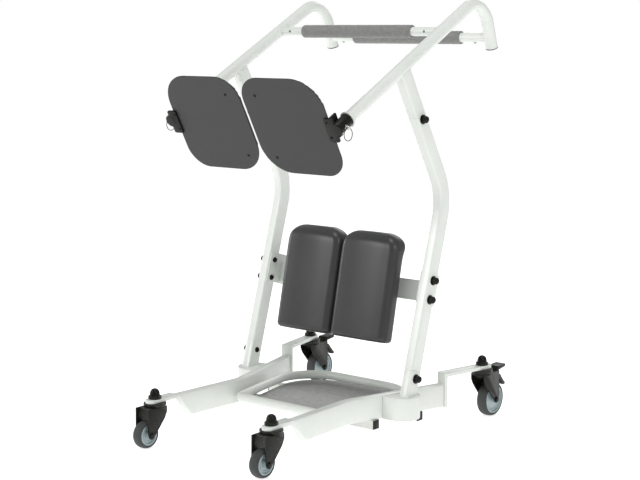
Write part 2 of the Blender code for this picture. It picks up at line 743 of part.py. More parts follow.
def seat_hinge(side, label):
    """The barrel, and the angle bracket that carries the seat pad's outer edge."""
    top = ARM_TUBE_END - GAP
    edge = 0.002
    profile = [(0, top), (BARREL_RADIUS, top), (BARREL_RADIUS, BARREL_END + edge)]
    profile += [(BARREL_RADIUS - edge, BARREL_END), (0, BARREL_END)]
    centre = arm_point(0) + Vector((side * UPRIGHT_X, 0, 0))
    hinge = turned("seat_hinge_" + label, profile, basis(centre, (1, 0, 0), SEAT_DOWN))

    height = HINGE_PLATE_LOW - HINGE_PLATE_HIGH
    down = (HINGE_PLATE_LOW + HINGE_PLATE_HIGH) / 2
    face = seat_place(side, -GAP - HINGE_PLATE_THICKNESS / 2)
    across = side * (HINGE_PLATE_INNER_X + UPRIGHT_X) / 2
    outline = rounded_rectangle(UPRIGHT_X - HINGE_PLATE_INNER_X, height, 0.004)
    place = face @ Matrix.Translation((across, down, 0))
    combine(hinge, plate("seat_hinge_flap_" + label, outline, HINGE_PLATE_THICKNESS, place), "UNION")
    size = (HINGE_SIDE_THICKNESS, height - 0.004, HINGE_SIDE_DEPTH)
    place = face @ Matrix.Translation((side * (HINGE_SIDE_X + HINGE_SIDE_THICKNESS / 2), down, size[2] / 2))
    wall = box("seat_hinge_wall_" + label, size, place.translation, place.to_3x3().to_4x4())
    combine(hinge, wall, "UNION")

    bore_length = ARM_TUBE_END - BARREL_END
    middle = centre + ARM_AXIS * (BARREL_END + BARREL_CAP + bore_length / 2)
    bore = cylinder("seat_hinge_bore_" + label, SPINDLE_RADIUS + GAP, bore_length, middle, ARM_AXIS, 20)
    combine(hinge, bore, "DIFFERENCE")
    hole_centre = pin_place(side) @ Vector((0, 0, BARREL_RADIUS))
    hole = cylinder("pin_hole_" + label, PIN_RADIUS + GAP, 0.016, hole_centre, pin_direction(side), 12)
    finished(combine(hinge, hole, "DIFFERENCE"), "black_plastic")


def detent_pin(side, label):
    profile = [(0, PIN_LENGTH), (PIN_KNOB_RADIUS - 0.001, PIN_LENGTH)]
    profile += [(PIN_KNOB_RADIUS, PIN_LENGTH - 0.001), (PIN_KNOB_RADIUS, PIN_SHOULDER)]
    profile += [(PIN_RADIUS, PIN_SHOULDER), (PIN_RADIUS, PIN_TIP), (0, PIN_TIP)]
    pin = turned("detent_pin_" + label, profile, pin_place(side), 12)
    eye = cylinder("pin_eye_" + label, PIN_EYE_RADIUS, 0.03, eye_centre(side), (0, 1, 0), 10)
    finished(combine(pin, eye, "DIFFERENCE"), "steel")


def eye_centre(side):
    return pin_place(side) @ Vector((0, 0, PIN_EYE))


def pull_ring(side, label):
    centre = eye_centre(side) - Vector((0, 0, RING_RADIUS))
    path = [(centre[0], *spot) for spot in arc(centre[1:], RING_RADIUS, 0, 340, 17)]
    ring = tube("pull_ring_" + label, path, RING_WIRE_RADIUS, cyclic=True, resolution=1)
    finished(ring, "steel", True)


# Casters


def caster_places():
    """Each caster's name, swivel point, sizes and the way that it trails."""
    for label, side in SIDES.items():
        yield "entry_" + label, (side * ENTRY_SWIVEL[0], ENTRY_SWIVEL[1]), ENTRY_WHEEL, -1
        yield "handle_" + label, (side * HANDLE_SWIVEL[0], HANDLE_SWIVEL[1]), HANDLE_WHEEL, 1


def strap_bottom(trail_way):
    return ENTRY_STRAP_BOTTOM if trail_way < 0 else HANDLE_STRAP_BOTTOM


def caster_stem(name, swivel, spec, trail_way):
    """Cap nut above the strap, the stem through it and the upper ball race below it."""
    bottom = strap_bottom(trail_way)
    top = bottom + STRAP_THICKNESS + GAP
    race = bottom - GAP
    race_end = race - spec["race"]
    stem = STEM_HOLE_RADIUS - 2 * GAP
    profile = [(radius, top + height) for radius, height in CAP_PROFILE]
    profile += [(stem, top), (stem, race), (UPPER_RACE_RADIUS, race)]
    profile += [(UPPER_RACE_RADIUS, race_end), (stem, race_end)]
    profile += [(stem, race_end - STEM_BELOW_RACE), (0, race_end - STEM_BELOW_RACE)]
    place = Matrix.Translation((*swivel, 0))
    finished(turned("caster_stem_" + name, profile, place, 20), "caster_black")


def fork_outline(spec, crown):
    """Side view of a fork cheek as (trail, height) points, from the leading corner round."""
    trail = spec["trail"]
    radius = spec["radius"]
    back = trail + FORK_BACK
    points = [(FORK_LEAD, crown), (FORK_LEAD, crown - 0.016), (FORK_LEAD + 0.008, crown - 0.032)]
    points += arc((trail, radius), FORK_FOOT_RADIUS, 215, 350, 6)
    points += [(back + 0.001, radius + 0.012), (back, crown)]
    return points


def caster_fork(name, swivel, spec, trail_way):
    crown_top = strap_bottom(trail_way) - GAP - spec["race"] - RACE_GAP
    half = spec["half_fork"]
    outline = fork_outline(spec, crown_top)
    # Local X runs along the trail and local Y up, so the cheek's thickness lies across the wheel
    origin = Vector((*swivel, 0))
    fork = None
    for cheek in (-1, 1):
        place = basis(
            origin + Vector((cheek * (half - FORK_PLATE / 2), 0, 0)), (0, trail_way, 0), (0, 0, 1)
        )
        solid = plate("caster_fork_" + name + ("" if fork is None else "_cheek"), outline, FORK_PLATE, place)
        fork = solid if fork is None else combine(fork, solid, "UNION")
    crown_back = spec["trail"] + 0.001
    middle = origin + Vector((0, 0, crown_top - FORK_CROWN / 2))
    size = (2 * half, crown_back - FORK_LEAD, FORK_CROWN)
    shift = Vector((0, trail_way * (crown_back + FORK_LEAD) / 2, 0))
    combine(fork, box("caster_crown_" + name, size, middle + shift), "UNION")
    race = cylinder("caster_race_" + name, FORK_RACE_RADIUS, FORK_CROWN, middle, (0, 0, 1))
    combine(fork, race, "UNION")
    bore = cylinder(
        "caster_bore_" + name, STEM_HOLE_RADIUS, 0.03, origin + Vector((0, 0, crown_top)), (0, 0, 1), 16
    )
    combine(fork, bore, "DIFFERENCE")
    axle_centre = origin + Vector((0, trail_way * spec["trail"], spec["radius"]))
    hole = cylinder("caster_axle_hole_" + name, AXLE_RADIUS + GAP, 0.1, axle_centre, (1, 0, 0), 16)
    finished(combine(fork, hole, "DIFFERENCE"), "caster_black")


def wheel_place(swivel, spec, trail_way):
    centre = (swivel[0], swivel[1] + trail_way * spec["trail"], spec["radius"])
    return Matrix.Translation(centre) @ Matrix.Rotation(math.pi / 2, 4, "Y")


def caster_wheel(name, swivel, spec, trail_way):
    half_fork = spec["half_fork"] - FORK_PLATE - 2 * GAP
    half = spec["width"] / 2
    radius = spec["radius"]
    rim = radius - TYRE_DEPTH
    web = half - WEB_RECESS
    bore = AXLE_RADIUS + GAP
    upper = [(bore, half_fork), (HUB_RADIUS, half_fork), (HUB_RADIUS + 0.001, web)]
    upper += [(rim - RIM_THICKNESS - 0.001, web), (rim - RIM_THICKNESS, half - 0.001), (rim, half - 0.001)]
    profile = upper + [(distance, -height) for distance, height in reversed(upper)]
    place = wheel_place(swivel, spec, trail_way)
    finished(turned("caster_wheel_" + name, profile, place, 20, ring=True), "hub_grey")

    # The tread stands on the middle of a facet, and its corners lie a little outside the radius
    half_facet = math.pi / TYRE_SIDES
    bore = (rim + GAP) / math.cos(half_facet)
    tread = radius / math.cos(half_facet)
    upper = [(bore, half - 0.001), (radius - 0.006, half), (radius - 0.002, half - 0.004)]
    upper += [(tread, half - 0.010)]
    profile = upper + [(distance, -height) for distance, height in reversed(upper)]
    standing = place @ Matrix.Rotation(half_facet, 4, "Z")
    finished(turned("caster_tyre_" + name, profile, standing, TYRE_SIDES, ring=True), "tyre_grey")

    head = spec["half_fork"] + GAP
    end = head + AXLE_HEAD
    side = [(0, end), (AXLE_HEAD_RADIUS - 0.001, end), (AXLE_HEAD_RADIUS, end - 0.001)]
    side += [(AXLE_HEAD_RADIUS, head), (AXLE_RADIUS, head)]
    profile = side + [(distance, -height) for distance, height in reversed(side)]
    finished(turned("caster_axle_" + name, profile, place, 12), "steel")


def brake_pedal(name, swivel, trail_way):
    outline = PEDAL_BODY + PEDAL_LEVER + PEDAL_TAB
    place = basis((*swivel, 0), (0, trail_way, 0), (0, 0, 1))
    pedal = plate("brake_pedal_" + name, outline, 2 * PEDAL_HALF_WIDTH, place)
    finished(pedal, "caster_black")


clear_scene()
parts = add_collection("sit_to_stand_lift")
cutters = add_collection("cutters")
finishes = {name: make_finish(name, **values) for name, values in FINISHES.items()}

for label, side in SIDES.items():
    leg(side, label)
    entry_strap(side, label)
    handle_strap(side, label)
    cross_tube_plug("entry", ENTRY_CROSS, side, label)
    cross_tube_plug("handle", HANDLE_CROSS, side, label)
    upright_base(side, label)
    upright(side, label)
    arm(side, label)
    knee_pad(side, label)
    seat_pad(side, label)
    seat_hinge(side, label)
    detent_pin(side, label)
    pull_ring(side, label)

cross_tube("entry", ENTRY_CROSS)
cross_tube("handle", HANDLE_CROSS)
footplate()
knee_crossbar()
grab_bar("patient_bar", PATIENT_BAR, ARM_AXIS)
stub_direction = (0, ARM_END[0] - ARM_CORNER_Y, ARM_END[1] - arm_height(ARM_CORNER_Y))
grab_bar("push_bar", PUSH_BAR, stub_direction)

for caster, swivel, spec, trail_way in caster_places():
    caster_stem(caster, swivel, spec, trail_way)
    caster_fork(caster, swivel, spec, trail_way)
    caster_wheel(caster, swivel, spec, trail_way)
    if trail_way > 0:
        brake_pedal(caster, swivel, trail_way)
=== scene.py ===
import math

import bmesh
import bpy
from mathutils import Matrix, Vector, noise


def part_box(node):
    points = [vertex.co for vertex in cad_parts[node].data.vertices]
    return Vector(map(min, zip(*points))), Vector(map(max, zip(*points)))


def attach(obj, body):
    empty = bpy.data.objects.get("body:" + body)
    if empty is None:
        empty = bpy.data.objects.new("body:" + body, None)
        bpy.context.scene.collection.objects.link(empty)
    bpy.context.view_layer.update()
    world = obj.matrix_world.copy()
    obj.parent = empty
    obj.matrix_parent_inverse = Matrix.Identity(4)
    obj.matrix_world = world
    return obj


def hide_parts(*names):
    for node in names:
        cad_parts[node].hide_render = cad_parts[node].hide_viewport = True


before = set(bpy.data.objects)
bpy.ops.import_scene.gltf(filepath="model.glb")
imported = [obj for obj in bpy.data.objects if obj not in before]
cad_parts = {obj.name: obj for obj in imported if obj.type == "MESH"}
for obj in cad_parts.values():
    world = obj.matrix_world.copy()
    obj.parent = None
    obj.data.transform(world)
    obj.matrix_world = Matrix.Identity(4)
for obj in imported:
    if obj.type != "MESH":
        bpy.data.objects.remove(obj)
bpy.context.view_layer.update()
sides = {"left": -1, "right": 1}
armSlope = 0.5351
seatTilt = math.atan(armSlope)
armAxis = Vector((0, math.cos(seatTilt), math.sin(seatTilt)))
seatDown = Vector((0, math.sin(seatTilt), -math.cos(seatTilt)))
kneeLean = math.atan(0.22)
print("frame loaded:", len(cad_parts), "nodes")


# Finishes

finishLooks = {
    "powderCoat": {"colour": (0.735, 0.765, 0.722), "shift": 0.030, "toneScale": 7, "rough": (0.27, 0.40),
                   "grain": 0.05, "grainScale": 520, "depth": 0.0003, "coat": 0.25,
                   "wear": (0.66, 0.67, 0.63)},
    "footplateTop": {"colour": (0.365, 0.365, 0.360), "shift": 0.16, "toneScale": 60, "rough": (0.55, 0.80),
                     "grain": 0.55, "grainScale": 480, "depth": 0.0006, "cells": 0.5},
    "blackPlastic": {"colour": (0.0065, 0.0067, 0.0055), "shift": 0.20, "toneScale": 40,
                     "rough": (0.28, 0.42), "grain": 0.20, "grainScale": 900, "depth": 0.0002,
                     "cells": 0.3, "specular": 0.20},
    "casterBlack": {"colour": (0.0070, 0.0070, 0.0055), "shift": 0.25, "toneScale": 35, "rough": (0.20, 0.36),
                    "grain": 0.12, "grainScale": 420, "depth": 0.0003, "specular": 0.20,
                    "wear": (0.045, 0.045, 0.038)},
    "padVinyl": {"colour": (0.036, 0.036, 0.0372), "shift": 0.05, "toneScale": 14, "rough": (0.30, 0.37),
                 "grain": 0.22, "grainScale": 900, "depth": 0.0002, "cells": 0.7, "specular": 0.42},
    "padBoard": {"colour": (0.048, 0.048, 0.049), "shift": 0.05, "toneScale": 18, "rough": (0.55, 0.70),
                 "grain": 0.25, "grainScale": 1300, "depth": 0.0002, "cells": 0.4, "specular": 0.25},
    "gripFoam": {"colour": (0.225, 0.225, 0.220), "shift": 0.16, "toneScale": 90, "rough": (0.82, 0.97),
                 "grain": 0.75, "grainScale": 560, "depth": 0.0007, "cells": 0.8, "sheen": 0.15},
    "tyreGrey": {"colour": (0.048, 0.053, 0.050), "shift": 0.14, "toneScale": 45, "rough": (0.50, 0.68),
                 "grain": 0.18, "grainScale": 600, "depth": 0.0003, "specular": 0.3},
    "hubGrey": {"colour": (0.345, 0.420, 0.435), "shift": 0.06, "toneScale": 30, "rough": (0.30, 0.45),
                "grain": 0.08, "grainScale": 700, "depth": 0.0002, "coat": 0.1},
    "steel": {"colour": (0.56, 0.56, 0.54), "shift": 0.10, "toneScale": 60, "rough": (0.22, 0.38),
              "grain": 0.15, "grainScale": 260, "depth": 0.0001, "metallic": 1.0, "stretch": (1, 1, 9)},
}


def makeFinish(name, look):
    material = bpy.data.materials.new(name)
    material.use_nodes = True
    nodes, links = material.node_tree.nodes, material.node_tree.links
    shader = nodes["Principled BSDF"]
    shader.inputs["Metallic"].default_value = look.get("metallic", 0.0)
    shader.inputs["Coat Weight"].default_value = look.get("coat", 0.0)
    shader.inputs["Coat Roughness"].default_value = 0.18
    shader.inputs["Specular IOR Level"].default_value = look.get("specular", 0.5)
    shader.inputs["Sheen Weight"].default_value = look.get("sheen", 0.0)
    shader.inputs["Sheen Roughness"].default_value = 0.45
    place = nodes.new("ShaderNodeTexCoord")
    stretch = nodes.new("ShaderNodeMapping")
    stretch.inputs["Scale"].default_value = look.get("stretch", (1, 1, 1))
    links.new(place.outputs["Object"], stretch.inputs["Vector"])

    # Slow change of tone over the surface
    tone = nodes.new("ShaderNodeTexNoise")
    tone.inputs["Scale"].default_value = look["toneScale"]
    tone.inputs["Detail"].default_value = 5
    tone.inputs["Roughness"].default_value = 0.62
    links.new(stretch.outputs["Vector"], tone.inputs["Vector"])
    shades = nodes.new("ShaderNodeValToRGB")
    shades.color_ramp.elements[0].position = 0.32
    shades.color_ramp.elements[1].position = 0.68
    for stop, sign in zip(shades.color_ramp.elements, (-1, 1)):
        stop.color = (*[min(1.0, part * (1 + sign * look["shift"])) for part in look["colour"]], 1)
    links.new(tone.outputs["Fac"], shades.inputs["Fac"])
    colour = shades.outputs["Color"]
    if "wear" in look:
        colour = wornEdges(nodes, links, colour, tone.outputs["Fac"], look["wear"])
    links.new(colour, shader.inputs["Base Color"])
    rough = nodes.new("ShaderNodeMapRange")
    rough.inputs["To Min"].default_value, rough.inputs["To Max"].default_value = look["rough"]
    links.new(tone.outputs["Fac"], rough.inputs["Value"])
    links.new(rough.outputs["Result"], shader.inputs["Roughness"])

    # Fine grain, partly pebbled where the finish has cells
    grain = nodes.new("ShaderNodeTexNoise")
    grain.inputs["Scale"].default_value = look["grainScale"]
    grain.inputs["Detail"].default_value = 3
    links.new(stretch.outputs["Vector"], grain.inputs["Vector"])
    height = grain.outputs["Fac"]
    if look.get("cells"):
        cells = nodes.new("ShaderNodeTexVoronoi")
        cells.inputs["Scale"].default_value = look["grainScale"]
        cells.inputs["Randomness"].default_value = 0.9
        links.new(stretch.outputs["Vector"], cells.inputs["Vector"])
        blend = nodes.new("ShaderNodeMix")
        blend.inputs[0].default_value = look["cells"]
        links.new(grain.outputs["Fac"], blend.inputs[2])
        links.new(cells.outputs["Distance"], blend.inputs[3])
        height = blend.outputs[0]
    bump = nodes.new("ShaderNodeBump")
    bump.inputs["Strength"].default_value = look["grain"]
    bump.inputs["Distance"].default_value = look["depth"]
    links.new(height, bump.inputs["Height"])
    links.new(bump.outputs["Normal"], shader.inputs["Normal"])
    return material


def wornEdges(nodes, links, colour, noiseFactor, wear):
    # Sharp edges rubbed a little, broken up by the tone noise
    shape = nodes.new("ShaderNodeNewGeometry")
    edge = nodes.new("ShaderNodeMapRange")
    edge.inputs["From Min"].default_value = 0.535
    edge.inputs["From Max"].default_value = 0.60
    links.new(shape.outputs["Pointiness"], edge.inputs["Value"])
    broken = nodes.new("ShaderNodeMath")
    broken.operation = "MULTIPLY"
    links.new(edge.outputs["Result"], broken.inputs[0])
    links.new(noiseFactor, broken.inputs[1])
    rubbed = nodes.new("ShaderNodeMix")
    rubbed.data_type = "RGBA"
    links.new(broken.outputs["Value"], rubbed.inputs[0])
    links.new(colour, rubbed.inputs[6])
    rubbed.inputs[7].default_value = (*wear, 1)
    return rubbed.outputs[2]


finishes = {name: makeFinish(name, look) for name, look in finishLooks.items()}
print("finishes made:", len(finishes))


# Making and placing pieces


def newObject(name, mesh):
    piece = bpy.data.objects.new(name, mesh)
    bpy.context.scene.collection.objects.link(piece)
    return piece


def shapeToObject(name, shape):
    mesh = bpy.data.meshes.new(name)
    shape.to_mesh(mesh)
    shape.free()
    return newObject(name, mesh)


def settle(piece, body, finish, nodes=(), sharp=38):
    # The finished mesh, with its place in its vertices, riding on its body
    bpy.context.view_layer.update()
    graph = bpy.context.evaluated_depsgraph_get()
    mesh = bpy.data.meshes.new_from_object(piece.evaluated_get(graph))
    mesh.transform(piece.matrix_world)
    name = piece.name
    bpy.data.objects.remove(piece)
    done = newObject(name, mesh)
    mesh.name = name
    mesh.materials.clear()
    mesh.materials.append(finishes[finish])
    mesh.shade_smooth()
    mesh.set_sharp_from_angle(angle=math.radians(sharp))
    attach(done, body)
    if nodes:
        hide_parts(*nodes)
    return done


def joined(name, pieces):
    # One object from several, each with its place kept
    shape = bmesh.new()
    graph = bpy.context.evaluated_depsgraph_get()
    for piece in pieces:
        mesh = bpy.data.meshes.new_from_object(piece.evaluated_get(graph))
        mesh.transform(piece.matrix_world)
        shape.from_mesh(mesh)
        bpy.data.meshes.remove(mesh)
    for piece in pieces:
        bpy.data.objects.remove(piece)
    return shapeToObject(name, shape)


def basis(origin, xAxis, yAxis):
    xAxis, yAxis = Vector(xAxis).normalized(), Vector(yAxis).normalized()
    place = Matrix((xAxis, yAxis, xAxis.cross(yAxis))).transposed().to_4x4()
    place.translation = origin
    return place


def arc(centre, radius, start, end, steps):
    angles = [math.radians(start + (end - start) * step / steps) for step in range(steps + 1)]
    return [(centre[0] + radius * math.cos(a), centre[1] + radius * math.sin(a)) for a in angles]


def filleted(points, radii, steps, cyclic=False):
    corners = [Vector(point) for point in points]
    path = [] if cyclic else [corners[0]]
    inner = range(len(corners)) if cyclic else range(1, len(corners) - 1)
    for index, radius in zip(inner, radii):
        corner = corners[index]
        back = (corners[index - 1] - corner).normalized()
        ahead = (corners[(index + 1) % len(corners)] - corner).normalized()
        half = back.angle(ahead) / 2
        centre = corner + (back + ahead).normalized() * radius / math.sin(half)
        start = corner + back * radius / math.tan(half) - centre
        end = corner + ahead * radius / math.tan(half) - centre
        turn = math.pi - 2 * half
        for step in range(steps + 1):
            share = step / steps
            weights = (math.sin((1 - share) * turn), math.sin(share * turn))
            path.append(centre + (start * weights[0] + end * weights[1]) / math.sin(turn))
    return path if cyclic else path + [corners[-1]]


def densified(path, spacing, cyclic=False):
    ends = path + [path[0]] if cyclic else path
    dense = []
    for start, end in zip(ends, ends[1:]):
        count = max(1, round((end - start).length / spacing))
        dense += [start.lerp(end, step / count) for step in range(count)]
    return dense if cyclic else dense + [ends[-1]]


def roundedRectangle(width, height, radius, steps=5):
    x, y = width / 2 - radius, height / 2 - radius
    points = []
    for quarter, centre in enumerate([(x, y), (-x, y), (-x, -y), (x, -y)]):
        points += arc(centre, radius, 90 * quarter, 90 * quarter + 90, steps)
    return points


def circle(radius, count):
    return arc((0, 0), radius, 0, 360 - 360 / count, count - 1)


def skinned(shape, rings, cyclic=False):
    # Faces from each ring of points to the next, with both ends closed unless the run is cyclic
    pairs = list(zip(rings, rings[1:])) + ([(rings[-1], rings[0])] if cyclic else [])
    count = len(rings[0])
    for ring, following in pairs:
        for index in range(count):
            nextIndex = (index + 1) % count
            shape.faces.new((ring[index], ring[nextIndex], following[nextIndex], following[index]))
    if not cyclic:
        shape.faces.new(rings[0])
        shape.faces.new(list(reversed(rings[-1])))


def sweep(name, path, section, fixed, cyclic=False):
    # A section carried along a plane path; the section's y stays along the fixed direction
    shape = bmesh.new()
    fixed = Vector(fixed).normalized()
    rings = []
    for index, spot in enumerate(path):
        if cyclic:
            before, after = path[index - 1], path[(index + 1) % len(path)]
        else:
            before, after = path[max(index - 1, 0)], path[min(index + 1, len(path) - 1)]
        across = fixed.cross(after - before).normalized()
        rings.append([shape.verts.new(spot + across * x + fixed * y) for x, y in section])
    skinned(shape, rings, cyclic)
    bmesh.ops.recalc_face_normals(shape, faces=shape.faces)
    return shapeToObject(name, shape)


def mirrored(profile):
    # The same profile on the other side of the middle
    return [(radius, -height) for radius, height in reversed(profile)]


def lathe(name, profile, place, steps=48, ring=False):
    # A profile of (radius, height) turned about the local Z axis
    shape = bmesh.new()
    rings = []
    for radius, height in profile:
        if radius < 1e-6:
            rings.append([shape.verts.new((0, 0, height))])
        else:
            rings.append([shape.verts.new((x, y, height)) for x, y in circle(radius, steps)])
    pairs = list(zip(rings, rings[1:])) + ([(rings[-1], rings[0])] if ring else [])
    for lower, upper in pairs:
        for index in range(steps):
            nextIndex = (index + 1) % steps
            corners = [lower[index % len(lower)], lower[nextIndex % len(lower)],
                       upper[nextIndex % len(upper)], upper[index % len(upper)]]
            corners = list(dict.fromkeys(corners))
            if len(corners) > 2:
                shape.faces.new(corners)
    bmesh.ops.recalc_face_normals(shape, faces=shape.faces)
    piece = shapeToObject(name, shape)
    piece.matrix_world = place
    return piece


def slab(name, outline, thickness, place, edge, segments=3):
    # A flat outline in the local XY plane, thickened to both sides, with rounded rims
    shape = bmesh.new()
    lower = [shape.verts.new((x, y, -thickness / 2)) for x, y in outline]
    upper = [shape.verts.new((x, y, thickness / 2)) for x, y in outline]
    faces = [shape.faces.new(lower), shape.faces.new(upper)]
    for index in range(len(outline)):
        nextIndex = (index + 1) % len(outline)
        shape.faces.new((lower[index], lower[nextIndex], upper[nextIndex], upper[index]))
    rims = [item for face in faces for item in face.edges]
    bmesh.ops.bevel(shape, geom=rims, offset=edge, segments=segments, profile=0.5, affect="EDGES",
                    clamp_overlap=True)
    bmesh.ops.recalc_face_normals(shape, faces=shape.faces)
    piece = shapeToObject(name, shape)
    piece.matrix_world = place
    return piece


def refined(name, node, edge, body, finish):
    # A CAD node with its doubles merged, its flat faces whole and its edges rounded
    shape = bmesh.new()
    shape.from_mesh(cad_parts[node].data)
    bmesh.ops.remove_doubles(shape, verts=shape.verts, dist=0.00002)
    bmesh.ops.dissolve_limit(shape, angle_limit=math.radians(0.8), verts=shape.verts, edges=shape.edges)
    bmesh.ops.recalc_face_normals(shape, faces=shape.faces)
    piece = shapeToObject(name, shape)
    rounding = piece.modifiers.new("rounding", "BEVEL")
    rounding.width = edge
    rounding.segments = 3
    rounding.limit_method = "ANGLE"
    rounding.angle_limit = math.radians(40)
    return settle(piece, body, finish, [node])


def bead(name, path, radius, ripple):
    # A weld bead: a closed run of metal with small ripples
    data = bpy.data.curves.new(name, "CURVE")
    data.dimensions = "3D"
    data.bevel_depth = radius
    data.bevel_resolution = 3
    spline = data.splines.new("POLY")
    spline.points.add(len(path) - 1)
    for index, (spot, point) in enumerate(zip(spline.points, path)):
        spot.co = (*point, 1)
        spot.radius = 1 + ripple * math.sin(index * 1.9) + ripple * noise.noise(Vector(point) * 400)
    spline.use_cyclic_u = True
    return newObject(name, data)


# Screws, bolts and caps: one node tree, with its sizes as named inputs


def fastenerTree():
    tree = bpy.data.node_groups.new("fasteners", "GeometryNodeTree")
    face = tree.interface
    face.new_socket("Geometry", in_out="INPUT", socket_type="NodeSocketGeometry")
    for name, value in (("headRadius", 0.006), ("headHeight", 0.002), ("domeRise", 0.002),
                        ("washerRadius", 0.008), ("washerThickness", 0.001), ("socketRadius", 0.002),
                        ("socketDepth", 0.001)):
        socket = face.new_socket(name, in_out="INPUT", socket_type="NodeSocketFloat")
        socket.default_value = value
    face.new_socket("finish", in_out="INPUT", socket_type="NodeSocketMaterial")
    face.new_socket("Geometry", in_out="OUTPUT", socket_type="NodeSocketGeometry")
    nodes, links = tree.nodes, tree.links
    given, result = nodes.new("NodeGroupInput"), nodes.new("NodeGroupOutput")

    def maths(operation, first, second):
        node = nodes.new("ShaderNodeMath")
        node.operation = operation
        for socket, value in zip(node.inputs, (first, second)):
            if isinstance(value, (int, float)):
                socket.default_value = value
            else:
                links.new(value, socket)
        return node.outputs[0]

    def lifted(geometry, height):
        offset = nodes.new("ShaderNodeCombineXYZ")
        links.new(height, offset.inputs["Z"])
        move = nodes.new("GeometryNodeTransform")
        links.new(geometry, move.inputs["Geometry"])
        links.new(offset.outputs[0], move.inputs["Translation"])
        return move

    def disc(radius, depth, height, count):
        node = nodes.new("GeometryNodeMeshCylinder")
        node.inputs["Vertices"].default_value = count
        links.new(radius, node.inputs["Radius"])
        links.new(depth, node.inputs["Depth"])
        return lifted(node.outputs["Mesh"], height).outputs[0]

    washer = disc(given.outputs["washerRadius"], given.outputs["washerThickness"],
                  maths("MULTIPLY", given.outputs["washerThickness"], 0.5), 32)
    headMiddle = maths("ADD", given.outputs["washerThickness"],
                       maths("MULTIPLY", given.outputs["headHeight"], 0.5))
    head = disc(given.outputs["headRadius"], given.outputs["headHeight"], headMiddle, 32)
    headTop = maths("ADD", given.outputs["washerThickness"], given.outputs["headHeight"])
    ball = nodes.new("GeometryNodeMeshUVSphere")
    ball.inputs["Segments"].default_value = 32
    ball.inputs["Rings"].default_value = 14
    links.new(given.outputs["headRadius"], ball.inputs["Radius"])
    dome = lifted(ball.outputs["Mesh"], headTop)
    squash = nodes.new("ShaderNodeCombineXYZ")
    squash.inputs["X"].default_value = squash.inputs["Y"].default_value = 1
    links.new(maths("DIVIDE", given.outputs["domeRise"], given.outputs["headRadius"]), squash.inputs["Z"])
    links.new(squash.outputs[0], dome.inputs["Scale"])
    body = nodes.new("GeometryNodeMeshBoolean")
    body.operation = "UNION"
    links.new(head, body.inputs["Mesh 2"])
    links.new(dome.outputs[0], body.inputs["Mesh 2"])
    top = maths("ADD", headTop, given.outputs["domeRise"])
    recess = disc(given.outputs["socketRadius"], maths("MULTIPLY", given.outputs["socketDepth"], 2), top, 6)
    cut = nodes.new("GeometryNodeMeshBoolean")
    cut.operation = "DIFFERENCE"
    links.new(body.outputs["Mesh"], cut.inputs["Mesh 1"])
    links.new(recess, cut.inputs["Mesh 2"])
    whole = nodes.new("GeometryNodeJoinGeometry")
    links.new(washer, whole.inputs[0])
    links.new(cut.outputs["Mesh"], whole.inputs[0])
    facing = nodes.new("GeometryNodeInputNamedAttribute")
    facing.data_type = "FLOAT_VECTOR"
    facing.inputs["Name"].default_value = "facing"
    turn = nodes.new("FunctionNodeAlignRotationToVector")
    turn.axis = "Z"
    links.new(facing.outputs["Attribute"], turn.inputs["Vector"])
    spread = nodes.new("GeometryNodeInstanceOnPoints")
    links.new(given.outputs["Geometry"], spread.inputs["Points"])
    links.new(whole.outputs[0], spread.inputs["Instance"])
    links.new(turn.outputs["Rotation"], spread.inputs["Rotation"])
    real = nodes.new("GeometryNodeRealizeInstances")
    links.new(spread.outputs["Instances"], real.inputs["Geometry"])
    paint = nodes.new("GeometryNodeSetMaterial")
    links.new(real.outputs["Geometry"], paint.inputs["Geometry"])
    links.new(given.outputs["finish"], paint.inputs["Material"])
    links.new(paint.outputs["Geometry"], result.inputs["Geometry"])
    return tree


fasteners = fastenerTree()


def fixings(name, spots, sizes, body, finish="blackPlastic"):
    # spots are (point, outward direction) pairs
    mesh = bpy.data.meshes.new(name)
    mesh.from_pydata([spot for spot, _ in spots], [], [])
    facing = mesh.attributes.new("facing", "FLOAT_VECTOR", "POINT")
    for item, (_, direction) in zip(facing.data, spots):
        item.vector = Vector(direction).normalized()
    piece = newObject(name, mesh)
    change = piece.modifiers.new("fasteners", "NODES")
    change.node_group = fasteners
    inputs = {item.name: item.identifier for item in fasteners.interface.items_tree if item.in_out == "INPUT"}
    for key, value in sizes.items():
        change[inputs[key]] = value
    change[inputs["finish"]] = finishes[finish]
    return settle(piece, body, finish, sharp=30)


domeCap = {"headRadius": 0.0098, "headHeight": 0.0085, "domeRise": 0.0075, "washerRadius": 0.0130,
           "washerThickness": 0.0022, "socketRadius": 0.0030, "socketDepth": 0.0008}
flatBolt = {"headRadius": 0.0066, "headHeight": 0.0030, "domeRise": 0.0018, "washerRadius": 0.0082,
            "washerThickness": 0.0012, "socketRadius": 0.0028, "socketDepth": 0.0022}
padScrew = {"headRadius": 0.0034, "headHeight": 0.0006, "domeRise": 0.0012, "washerRadius": 0.0042,
            "washerThickness": 0.0004, "socketRadius": 0.0013, "socketDepth": 0.0010}


# Tubes of the frame

tubeSizes = {"armRadius": 0.017, "armX": 0.291, "armStart": 0.045, "uprightWidth": 0.030,
             "uprightDepth": 0.043, "uprightEdge": 0.0052, "elbowRadius": 0.155, "hookRadius": 0.075}
barSizes = {"patient_bar": {"y": 0.205, "z": 1.1092, "radius": 0.0125, "grip": 0.0183},
            "push_bar": {"y": 0.4463, "z": 1.0915, "radius": 0.014, "grip": 0.0190}}
